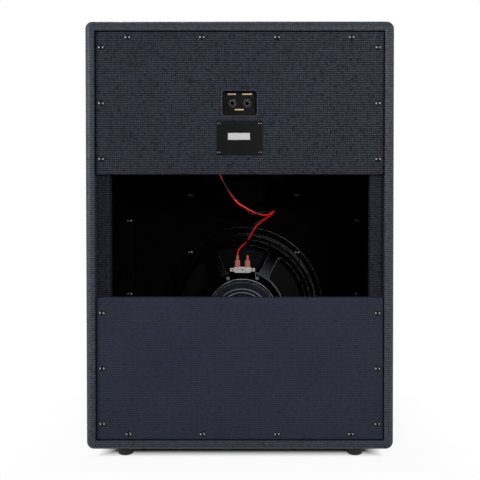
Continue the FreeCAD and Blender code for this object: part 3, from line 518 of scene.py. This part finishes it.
def rubber_look(name, level):
    """Moulded rubber with a little dust on it."""
    look = Look(name, Specular_IOR_Level=0.25)
    look.soft_edges(radius=0.8 * MM)
    place = look.place()
    grain = look.noise(place, scale=1400.0)
    dust = look.noise(place, scale=70.0, detail=4.0)
    look.bump(grain, distance=0.08 * MM, strength=0.5)
    dusty = grey(level * DUST_LEVEL, DUST_TINT)
    colour = look.mix(look.span(dust, *DUST_SPREAD), grey(level), dusty)
    return look.done(colour, look.span(grain, *SPREAD, *RUBBER_ROUGH))


RIB_PITCH = 6.4 * MM
RIB_CREST = (0.2, 1.0)
RIBS_BEGIN = (50 * MM, 56 * MM)
FIBRE_SPREAD = (0.35, 0.68)
FIBRE_SHARE = 0.25
CONE_BLACKS = (grey(0.0018), grey(0.005, (1.0, 0.98, 0.95)))
CONE_ROUGH = (0.5, 0.75)


def cone_look(name, axis_z):
    """Pressed paper: fibres, and ribs that run round the speaker's axis."""
    look = Look(name, Specular_IOR_Level=0.05)
    place = look.place()
    radius = look.radius(place, axis_z)
    rib = look.math("SINE", look.times(radius, TURN / RIB_PITCH))
    ribbed = look.times(look.span(rib, *RIB_CREST), look.span(radius, *RIBS_BEGIN))
    fibre = look.noise(place, scale=800.0, detail=4.0, rough=0.65)
    height = look.math("ADD", ribbed, look.times(fibre, FIBRE_SHARE))
    look.bump(height, distance=0.9 * MM, strength=0.7)
    colour = look.mix(look.span(fibre, *FIBRE_SPREAD), *CONE_BLACKS)
    return look.done(colour, look.span(fibre, *SPREAD, *CONE_ROUGH))


CLOTH_SLUB = (90.0, 700.0, 1.0)
CLOTH_SLUB_SHARE = 0.6
CLOTH_ROUGH = (0.75, 0.9)


def cloth_look(name, level, tint, pitch, contrast, specular=0.15, sheen=0.15):
    """Plain weave seen from the front, its threads along X and Z."""
    look = Look(name, Specular_IOR_Level=specular, Sheen_Weight=sheen)
    x, y, z = look.split(look.place())
    across = look.math("ADD", x, y)
    warp = look.math("SINE", look.times(across, TURN / pitch))
    weft = look.math("SINE", look.times(z, TURN / pitch))
    weave = look.span(look.times(warp, weft), -1.0, 1.0)
    slub = look.noise(look.scaled(look.join(across, z, 0.0), CLOTH_SLUB), scale=1.0)
    height = look.math("ADD", weave, look.times(slub, CLOTH_SLUB_SHARE))
    look.bump(height, distance=0.25 * MM, strength=0.7)
    colour = look.mix(weave, grey(level * (1 - contrast), tint), grey(level * (1 + contrast), tint))
    return look.done(colour, look.span(slub, *SPREAD, *CLOTH_ROUGH))


def sheath_look(name, colour, shade, rough=(0.28, 0.42), specular=0.5, soft=0.0):
    """Smooth soft plastic with faint handling marks."""
    look = Look(name, Specular_IOR_Level=specular, Subsurface_Weight=soft)
    place = look.place()
    marks = look.noise(place, scale=260.0, detail=3.0)
    cloud = look.noise(place, scale=60.0)
    look.bump(marks, distance=0.05 * MM, strength=0.4)
    return look.done(look.mix(look.span(cloud, *SPREAD), colour, shade), look.span(marks, *SPREAD, *rough))


PAPER_ROUGH = (0.6, 0.8)


def paper_look(name, colour, shade, scale=700.0, specular=0.2):
    """Printed paper or board."""
    look = Look(name, Specular_IOR_Level=specular)
    fibre = look.noise(look.place(), scale, detail=4.0, rough=0.6)
    look.bump(fibre, distance=0.05 * MM, strength=0.4)
    mixed = look.mix(look.span(fibre, *HIGH_SPREAD), colour, shade)
    return look.done(mixed, look.span(fibre, *SPREAD, *PAPER_ROUGH))


GRILLE_TINTS = ((0.94, 0.97, 1.08), (0.96, 0.98, 1.04))
STEEL_TINT = (0.85, 1.0, 1.3)

vinyl = weave_look("vinyl_case", level=0.019, contrast=0.93, specular=0.26, rough=(0.64, 0.5))
panel_vinyl = weave_look("vinyl_upper_panel", level=0.0136, contrast=0.98)
lower_vinyl = weave_look("vinyl_lower_panel", level=0.0184, contrast=0.2)
cleat_vinyl = weave_look("vinyl_cleat", level=0.0085, contrast=0.95, specular=0.1)
grille_cloth = weave_look(
    "grille_weave", level=0.02, contrast=0.7, specular=0.06, rough=(0.95, 0.85), tints=GRILLE_TINTS
)
black_paint = wood_look(
    "black_paint", grey(0.0012), grey(0.002), scale=(60.0, 60.0, 9.0), rough=(0.85, 0.7), specular=0.005
)
foot_rubber = rubber_look("foot_rubber", level=0.012)
black_screw = screw_look("black_screw")
# Each edge colour below is a painted highlight on that look's edges
black_plate = painted_look(
    "black_plate",
    level=0.0045,
    tint=(1.0, 1.0, 1.06),
    edge=grey(0.03),
    radius=0.4 * MM,
    rough=(0.4, 0.55),
    specular=0.05,
)
black_plastic = painted_look(
    "black_plastic",
    level=0.004,
    tint=NO_TINT,
    edge=grey(0.3),
    radius=0.6 * MM,
    rough=(0.3, 0.45),
    specular=0.12,
    patches=EVEN,
)
basket_paint = basket_look("basket_paint", AXIS_Z["lower"])
# Painted shade: a darker, matt copy of the basket paint, for the upper speaker, which sits in the case's
# shade
painted_shade_black = painted_look(
    "painted_shade_black",
    level=BASKET_LEVEL,
    tint=BASKET_TINT,
    edge=grey(0.003),
    radius=0.9 * MM,
    rough=BASKET_ROUGH,
    specular=0.0,
)
plate_steel = painted_look(
    "plate_steel",
    level=0.012,
    tint=STEEL_TINT,
    edge=grey(0.92, (0.92, 1.0, 1.08)),
    radius=1.5 * MM,
    rough=(0.25, 0.4),
    specular=0.05,
    patches=EVEN,
    round_rim=True,
)
ferrite = painted_look(
    "ferrite",
    level=0.017,
    tint=STEEL_TINT,
    edge=grey(0.36),
    radius=0.9 * MM,
    rough=(0.25, 0.4),
    specular=0.03,
    grain=500.0,
    patches=EVEN,
)
rivet_steel = painted_look(
    "rivet_steel",
    level=0.16,
    tint=(0.95, 1.0, 1.1),
    edge=None,
    radius=0.3 * MM,
    rough=(0.3, 0.45),
    specular=0.2,
)
gasket_board = paper_look(
    "gasket_board", grey(0.002), grey(0.004, (1.1, 1.0, 0.9)), scale=500.0, specular=0.0
)
doped_cloth = cloth_look(
    "doped_cloth",
    level=0.003,
    tint=(1.1, 1.0, 0.85),
    pitch=1.1 * MM,
    contrast=0.4,
    specular=0.01,
    sheen=0.0,
)
spider_cloth = cloth_look(
    "spider_cloth", level=0.09, tint=(1.3, 1.0, 0.6), pitch=0.9 * MM, contrast=0.35, specular=0.2
)
pad_loops = cloth_look("pad_loops", level=0.012, tint=NO_TINT, pitch=0.8 * MM, contrast=0.6)
coil_metal = metal_look(
    "coil_copper", (0.72, 0.36, 0.18, 1), (0.5, 0.22, 0.1, 1), rough=(0.3, 0.45), grain=(40.0, 2500.0, 40.0)
)
brass = metal_look("contact_brass", (0.75, 0.62, 0.36, 1), (0.5, 0.38, 0.2, 1))
tinned = metal_look("tinned_metal", (0.68, 0.66, 0.62, 1), (0.42, 0.38, 0.32, 1))
strip_fibre = paper_look("strip_fibre", (0.66, 0.64, 0.61, 1), (0.48, 0.45, 0.41, 1), scale=350.0)
spade_sleeve = sheath_look(
    "spade_sleeve",
    (0.62, 0.17, 0.145, 1),
    (0.5, 0.11, 0.095, 1),
    rough=(0.3, 0.45),
    specular=0.4,
    soft=0.15,
)
red_pvc = sheath_look("red_pvc", (0.94, 0.015, 0.013, 1), (0.86, 0.009, 0.009, 1))
black_pvc = sheath_look(
    "black_pvc", grey(0.003), grey(0.005, (0.9, 1.0, 1.1)), rough=(0.2, 0.32), specular=0.25
)
sticker_paper = paper_look("sticker_paper", grey(0.5), grey(0.44, (0.99, 1.0, 1.02)))
cream_print = paper_look("cream_print", (0.62, 0.47, 0.27, 1), (0.5, 0.36, 0.2, 1))

slot_looks = {
    "plywood": black_paint,
    "black_wood": black_paint,
    "vinyl": vinyl,
    "foot_rubber": foot_rubber,
    "black_screw": black_screw,
    "grille_fabric": pad_loops,
    "black_plate": black_plate,
    "black_plastic": black_plastic,
    "contact_brass": brass,
    "basket_paint": basket_paint,
    "gasket_board": gasket_board,
    "doped_cloth": doped_cloth,
    "coil_metal": coil_metal,
    "plated_steel": plate_steel,
    "ferrite": ferrite,
    "terminal_fibre": strip_fibre,
    "spade_sleeve": spade_sleeve,
    "red_pvc": red_pvc,
    "black_pvc": black_pvc,
}
node_looks = {
    "upper_panel_covering": panel_vinyl,
    "lower_panel_covering": lower_vinyl,
    # The upper basket takes the painted shade
    "upper_basket": painted_shade_black,
}
for side in ("left", "right", "top", "bottom"):
    node_looks["rear_cleat_" + side] = cleat_vinyl
for side in SPEAKERS:
    paper = cone_look(side + "_cone_paper", AXIS_Z[side])
    node_looks[side + "_cone"] = paper
    node_looks[side + "_dust_cap"] = paper
for row in frame["record"]["subparts"]:
    chosen = node_looks.get(row["node"]) or slot_looks[row["material_slot"]]
    for spot in frame["nodes"][row["node"]].material_slots:
        spot.material = chosen

# Wires: the routes of the part's source in millimetres, as the control points of smooth curves.
# Four points of each, by the tip of the loop, are moved by less than 9 mm.
WIRE_DIAMETER = 2.6 * MM
WIRE_ROUNDNESS = 5
WIRE_STEPS = 10
RED_LENGTH = 0.4117
BLACK_LENGTH = 0.4104
RED_ROUTE = (
    (12.5, 98.2, 600.1),
    (12.5, 88, 600.1), (17, 77, 591), (26, 73, 570), (36, 77, 541), (41, 83, 510), (39, 88, 483),
    (30, 86, 463), (17, 83, 441), (5, 80, 425), (-12, 75, 416), (-27, 70, 407), (-46, 58, 403),
    (-60.5, 41, 413), (-54, 21, 403), (-38, 8, 392), (-24, 0, 380), (-16, -6, 365), (-9, -11, 352),
    (1, -14, 343), (9.3, -16.1, 334), (9.3, -16.1, 325.5),
)
BLACK_ROUTE = (
    (12.5, 98.2, 587.3),
    (12.5, 89, 587.3), (14.5, 79, 578), (21, 76, 561), (30, 80, 535), (36, 87, 506), (34, 93, 479),
    (29, 93, 462), (22.5, 91, 451), (15, 88, 441), (8, 84.5, 433), (-0.5, 75.5, 426.5),
    (-9, 70.5, 415.5), (-16, 71, 407.5), (-24, 74.5, 406), (-34, 71.5, 410.5), (-50, 60, 410.5),
    (-66.5, 42, 417), (-62, 22, 410), (-47, 17.5, 401.5), (-34, 13.5, 393), (-22, 7, 383),
    (-12, -0.5, 367), (-9, -5, 352), (-10.5, -10.5, 342.5), (-9.3, -16.1, 334), (-9.3, -16.1, 325.5),
)
for name, route, length, look in (
    ("red_lead", RED_ROUTE, RED_LENGTH, red_pvc),
    ("black_lead", BLACK_ROUTE, BLACK_LENGTH, black_pvc),
):
    curve = bpy.data.curves.new(name, "CURVE")
    curve.dimensions = "3D"
    curve.bevel_depth = WIRE_DIAMETER / 2
    curve.bevel_resolution = WIRE_ROUNDNESS
    curve.resolution_u = WIRE_STEPS
    curve.use_fill_caps = True
    spline = curve.splines.new("NURBS")
    spline.points.add(len(route) - 1)
    for point, place in zip(spline.points, route):
        point.co = (place[0] * MM, place[1] * MM, place[2] * MM, 1.0)
    spline.order_u = 3
    spline.use_endpoint_u = True
    spline.use_smooth = True
    wire = put(bpy.data.objects.new(name, curve), look)
    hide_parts(name.replace("lead", "wire"))

# Surrounds: rolled cloth in sectors, each of which bends between the basket and the cone
SECTORS = 12
SECTOR_STEPS = 6
SURROUND_DEPTH = 4.05 * MM
SURROUND_THICKNESS = 0.9 * MM
SURROUND_LIP = 126 * MM
SURROUND_WAVES = (131 * MM, 141 * MM)
SURROUND_LAND = 144.9 * MM
SURROUND_ROLL = 2 * MM
SURROUND_ROLLS = 2
ROLL_STEPS = 8


def waves(first, last, depth, height, count):
    """Points along a row of half waves between two radii."""
    points = []
    for i in range(count * ROLL_STEPS + 1):
        share = i / (count * ROLL_STEPS)
        points.append((first + (last - first) * share, depth - height * math.sin(math.pi * count * share)))
    return points


def sheet_profile(line, thickness):
    """A closed outline round a line of (radius, depth) points."""
    return line + [(r, d + thickness) for r, d in reversed(line)]


surround_line = (
    [(SURROUND_LIP, SURROUND_DEPTH)]
    + waves(*SURROUND_WAVES, SURROUND_DEPTH, SURROUND_ROLL, SURROUND_ROLLS)
    + [(SURROUND_LAND, SURROUND_DEPTH)]
)
surround_profile = sheet_profile(surround_line, SURROUND_THICKNESS)
for side in SPEAKERS:
    seat = (0.0, BAFFLE_REAR_Y, AXIS_Z[side])
    for sector in range(SECTORS):
        middle = TURN * sector / SECTORS
        rows = []
        for i in range(SECTOR_STEPS + 1):
            angle = middle + (i / SECTOR_STEPS - 0.5) * TURN / SECTORS
            rows.append(ring_row(surround_profile, angle, seat))
        points, faces = loft(rows, False, True, cap=True)
        piece = mesh_piece(f"{side}_surround_{sector:02d}", points, faces, doped_cloth, body=None)
        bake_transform(piece)
        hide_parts(side + "_surround")

# Spiders: corrugated discs in a low cup
SPIDER_STEPS = 72
SPIDER_LAND = 90.1 * MM
SPIDER_CUP = 7 * MM
SPIDER_THICKNESS = 0.8 * MM
SPIDER_RIM = 72 * MM
SPIDER_WALL = 61 * MM
SPIDER_WAVES = (58 * MM, 27.3 * MM)
SPIDER_ROLL = 1.5 * MM
SPIDER_ROLLS = 5
SPIDER_NECK = 22.3 * MM
cup_depth = SPIDER_LAND - SPIDER_CUP
spider_line = (
    [(SPIDER_RIM, SPIDER_LAND), (SPIDER_WALL, SPIDER_LAND)]
    + waves(*SPIDER_WAVES, cup_depth, SPIDER_ROLL, SPIDER_ROLLS)
    + [(SPIDER_NECK, cup_depth)]
)
spider_profile = sheet_profile(spider_line, SPIDER_THICKNESS)
for side in SPEAKERS:
    rows = turned(spider_profile, SPIDER_STEPS, (0.0, BAFFLE_REAR_Y, AXIS_Z[side]))
    points, faces = loft(rows, True, True)
    piece = mesh_piece(side + "_spider_cloth", points, faces, spider_cloth, body=None)
    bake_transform(piece)
    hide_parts(side + "_spider")

# Grille cloth, stretched over the front of its frame and turned in behind it
low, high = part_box("grille_cloth")
front = low.y
half_w = high.x
half_h = (high.z - low.z) / 2
centre_z = (low.z + high.z) / 2
frame_rear = rear_of("grille_frame")
CLOTH = 0.6 * MM
GRID_X = 48
GRID_Z = 66
FLAT_EDGE = 0.6 * MM
BOW = 0.15 * MM
PULL = 0.12 * MM
PULL_X = 61
PULL_Z = 47
FADE = 8
# The cloth's way round the edge: how far out from the side, and the place along Y
rim_steps = [
    (0.2 * MM, front + 0.15 * MM),
    (CLOTH, front + 0.7 * MM),
    (CLOTH, front + 3 * MM),
    (CLOTH, frame_rear - 1 * MM),
    (CLOTH - 0.1 * MM, frame_rear + 0.3 * MM),
    (-0.3 * MM, frame_rear + 0.65 * MM),
    (-5 * MM, frame_rear + 0.7 * MM),
]


def on_front(i, j):
    """A point of the flat front, from the middle of the cloth."""
    return (2 * i / GRID_X - 1) * (half_w - FLAT_EDGE), (2 * j / GRID_Z - 1) * (half_h - FLAT_EDGE)


def from_edge(i, count):
    """How far a grid line is from the edges, up to 1."""
    return min(1.0, FADE * min(i, count - i) / count)


points = []
index = {}
for i in range(GRID_X + 1):
    for j in range(GRID_Z + 1):
        x, rise = on_front(i, j)
        z = centre_z + rise
        inside = from_edge(i, GRID_X) * from_edge(j, GRID_Z)
        pull = PULL * math.sin(x * PULL_X) * math.sin(z * PULL_Z) * inside
        index[i, j] = len(points)
        points.append((x, front + (BOW + pull) * inside, z))
faces = []
for i in range(GRID_X):
    for j in range(GRID_Z):
        faces.append((index[i, j], index[i + 1, j], index[i + 1, j + 1], index[i, j + 1]))
border = (
    [(i, 0) for i in range(GRID_X)]
    + [(GRID_X, j) for j in range(GRID_Z)]
    + [(i, GRID_Z) for i in range(GRID_X, 0, -1)]
    + [(0, j) for j in range(GRID_Z, 0, -1)]
)
ring_before = [index[b] for b in border]
for out, y in rim_steps:
    ring = []
    for i, j in border:
        x, rise = on_front(i, j)
        x = math.copysign(half_w + out, x) if i in (0, GRID_X) else x
        rise = math.copysign(half_h + out, rise) if j in (0, GRID_Z) else rise
        ring.append(len(points))
        points.append((x, y, centre_z + rise))
    for k in range(len(border)):
        m = (k + 1) % len(border)
        faces.append((ring_before[k], ring_before[m], ring[m], ring[k]))
    ring_before = ring
cloth = mesh_piece("grille_cloth_stretched", points, faces, grille_cloth)
thick = cloth.modifiers.new("thickness", "SOLIDIFY")
thick.thickness = CLOTH
thick.offset = -1.0
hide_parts("grille_cloth")

# Rolled vinyl edge round the jack window, as (outward, rearward) points in millimetres
WINDOW_HALF = (29 * MM, 20.75 * MM)
WINDOW_RADIUS = 5 * MM
WINDOW_STEPS = 8
lip_profile = in_mm(
    [
        (1.5, -0.05),
        (1.3, 0.3),
        (0.75, 0.5),
        (0.15, 0.3),
        (-0.3, -0.3),
        (-0.4, -1.2),
        (-0.3, -2.2),
        (0.02, -2.5),
    ]
)
rows = []
for x, z, out in rounded_outline(*WINDOW_HALF, WINDOW_RADIUS, WINDOW_STEPS):
    rows.append([(x + out[0] * o, PANEL_Y + d, JACK_Z + z + out[1] * o) for o, d in lip_profile])
points, faces = loft(rows, True, True)
lip_piece = mesh_piece("jack_window_edge", points, faces, vinyl)

# Plain printed bars by the jacks: (start, end, rise) in millimetres from the middle of the plate
BARS = ((6.4, 20.1, 15.8), (-20.4, -4.0, 15.8), (-6.7, 8.7, -10.0))
BAR_HEIGHT = 2.2 * MM
BAR_THICKNESS = 0.08 * MM
BAR_CORNER = 0.3 * MM
for number, (start, end, rise) in enumerate(BARS):
    centre = ((start + end) / 2 * MM, JACK_FACE_Y, JACK_Z + rise * MM)
    size = ((end - start) * MM, BAR_HEIGHT)
    flat_patch(f"jack_bar_{number}", centre, size, BAR_THICKNESS, BAR_CORNER, cream_print)

# Blank sticker on the label plate
STICKER_X = 1 * MM
STICKER_RISE = 2.6 * MM
STICKER_SIZE = (36.4 * MM, 11.4 * MM)
STICKER_THICKNESS = 0.15 * MM
STICKER_CORNER = 0.5 * MM
flat_patch(
    "label_sticker",
    (STICKER_X, LABEL_Y, LABEL_Z + STICKER_RISE),
    STICKER_SIZE,
    STICKER_THICKNESS,
    STICKER_CORNER,
    sticker_paper,
)

# Eyelets of the terminal strips
EYELET = in_mm(
    [(1.45, -0.3), (1.45, 0.35), (1.75, 0.55), (2.35, 0.5), (2.6, 0.2), (2.6, -0.05), (2.0, -0.1)]
)
EYELET_STEPS = 24
EYELET_X = (-19 * MM, 0.0, 19 * MM)
STRIP_RISE = 80.6 * MM
STRIP_RECESS = 0.8 * MM
for side in SPEAKERS:
    rear = rear_of(side + "_terminal_strip") - STRIP_RECESS
    for number, x in enumerate(EYELET_X):
        rows = turned(EYELET, EYELET_STEPS, (x, rear, AXIS_Z[side] + STRIP_RISE))
        points, faces = loft(rows, True, True)
        mesh_piece(f"{side}_eyelet_{number}", points, faces, tinned)

# Rivets that hold each basket to its front plate
RIVET = in_mm([(3.6, -0.3), (3.6, 0.5), (3.1, 1.3), (2.2, 1.9), (1.1, 2.2), (0.25, 2.25)])
RIVET_STEPS = 20
RIVET_CIRCLE = 70.5 * MM
RIVETS = 8
# The upper rivets take the painted shade of the upper basket
rivet_looks = {"lower": rivet_steel, "upper": painted_shade_black}
for side in SPEAKERS:
    axis = (0.0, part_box(side + "_front_plate")[0].y, AXIS_Z[side])
    for number in range(RIVETS):
        around = TURN * (number + 0.5) / RIVETS
        centre = ring_row([(RIVET_CIRCLE, 0.0)], around, axis)[0]
        rows = list(zip(*turned(RIVET, RIVET_STEPS, centre)))
        points, faces = loft(rows, False, True, cap=True)
        mesh_piece(f"{side}_rivet_{number}", points, faces, rivet_looks[side])

# Floor: plain white to the eye, but matt close to the case, where it keeps the shadow
FLOOR_HALF = 6.0
FLOOR_GREY = 0.36
SHADOW_EDGE = (-0.043, -0.015)
SHADOW_WHITE = 0.94
FADE_EDGE = (-0.02, 0.15)
corners = [(-1, -1), (1, -1), (1, 1), (-1, 1)]
floor_mesh = bpy.data.meshes.new("floor")
floor_mesh.from_pydata([(FLOOR_HALF * sx, FLOOR_HALF * sy, 0.0) for sx, sy in corners], [], [(0, 1, 2, 3)])
floor = bpy.data.objects.new("floor", floor_mesh)
scene.collection.objects.link(floor)
floor_look = Look("floor_white")
floor_x, floor_y, _ = floor_look.split(floor_look.place())
past_side = floor_look.math("SUBTRACT", floor_look.math("ABSOLUTE", floor_x), cad_box[1][0])
past_end = floor_look.math("SUBTRACT", floor_look.math("ABSOLUTE", floor_y), cad_box[1][1])
past_case = floor_look.math("MAXIMUM", past_side, past_end)
near = floor_look.span(past_case, *SHADOW_EDGE, 0.0, SHADOW_WHITE)
far = floor_look.span(past_case, *FADE_EDGE, 0.0, 1.0 - SHADOW_WHITE)
white = floor_look.times(floor_look.math("ADD", near, far), floor_look.seen())
matt = floor_look.node("ShaderNodeBsdfDiffuse", {"Color": grey(FLOOR_GREY)})
glow = floor_look.node("ShaderNodeEmission", {"Color": grey(1.0), "Strength": 1.0})
shown = floor_look.node("ShaderNodeMixShader", {0: white, 1: matt.outputs[0], 2: glow.outputs[0]})
floor_look.feed(floor_look.nodes["Material Output"].inputs["Surface"], shown.outputs[0])
floor_mesh.materials.append(floor_look.material)

# Backdrop: white to the eye, and a weak even light on the object
AMBIENT = 0.12
BACKDROP = 1.0
world = bpy.data.worlds.new("studio")
world.use_nodes = True
scene.world = world
studio = Nodes(world.node_tree)
extra = studio.times(studio.seen(), BACKDROP - AMBIENT)
background = studio.nodes["Background"].inputs
studio.feed(background["Strength"], studio.math("ADD", extra, AMBIENT))
studio.feed(background["Color"], grey(1.0))


def soft_box(name, place, target, size, power):
    """A rectangular softbox that looks at a point."""
    lamp = bpy.data.lights.new(name, "AREA")
    lamp.shape = "RECTANGLE"
    lamp.size, lamp.size_y = size
    lamp.energy = power
    obj = bpy.data.objects.new(name, lamp)
    obj.location = place
    obj.rotation_euler = (Vector(target) - Vector(place)).to_track_quat("-Z", "Y").to_euler()
    scene.collection.objects.link(obj)


REAR_MIDDLE = (0.0, 0.1, 0.4)
FRONT_MIDDLE = (0.0, -0.1, 0.4)
soft_box("key_light", (-0.9, 2.25, 1.1), REAR_MIDDLE, size=(0.6, 0.6), power=36.0)
soft_box("left_edge_light", (2.1, 0.95, 0.9), REAR_MIDDLE, size=(0.4, 1.2), power=46.0)
soft_box("right_edge_light", (-2.2, 0.6, 0.9), REAR_MIDDLE, size=(0.5, 1.2), power=13.0)
soft_box("front_light", (0.7, -2.0, 2.2), FRONT_MIDDLE, size=(0.9, 0.9), power=56.0)

# Camera at the photograph's angle
LENS = 58.875
SENSOR = 36.0
SHIFT = (-0.054, -0.0993)
CLIP = (0.05, 50.0)
CAMERA_PLACE = (-43.6 * MM, 1443 * MM, 469 * MM)
CAMERA_TILT = 1.02
camera_data = bpy.data.cameras.new("camera")
camera_data.sensor_width = SENSOR
camera_data.lens = LENS
camera_data.shift_x, camera_data.shift_y = SHIFT
camera_data.clip_start, camera_data.clip_end = CLIP
camera = bpy.data.objects.new("camera", camera_data)
camera.location = CAMERA_PLACE
camera.rotation_euler = (math.radians(90 - CAMERA_TILT), 0.0, math.pi)
scene.collection.objects.link(camera)
scene.camera = camera
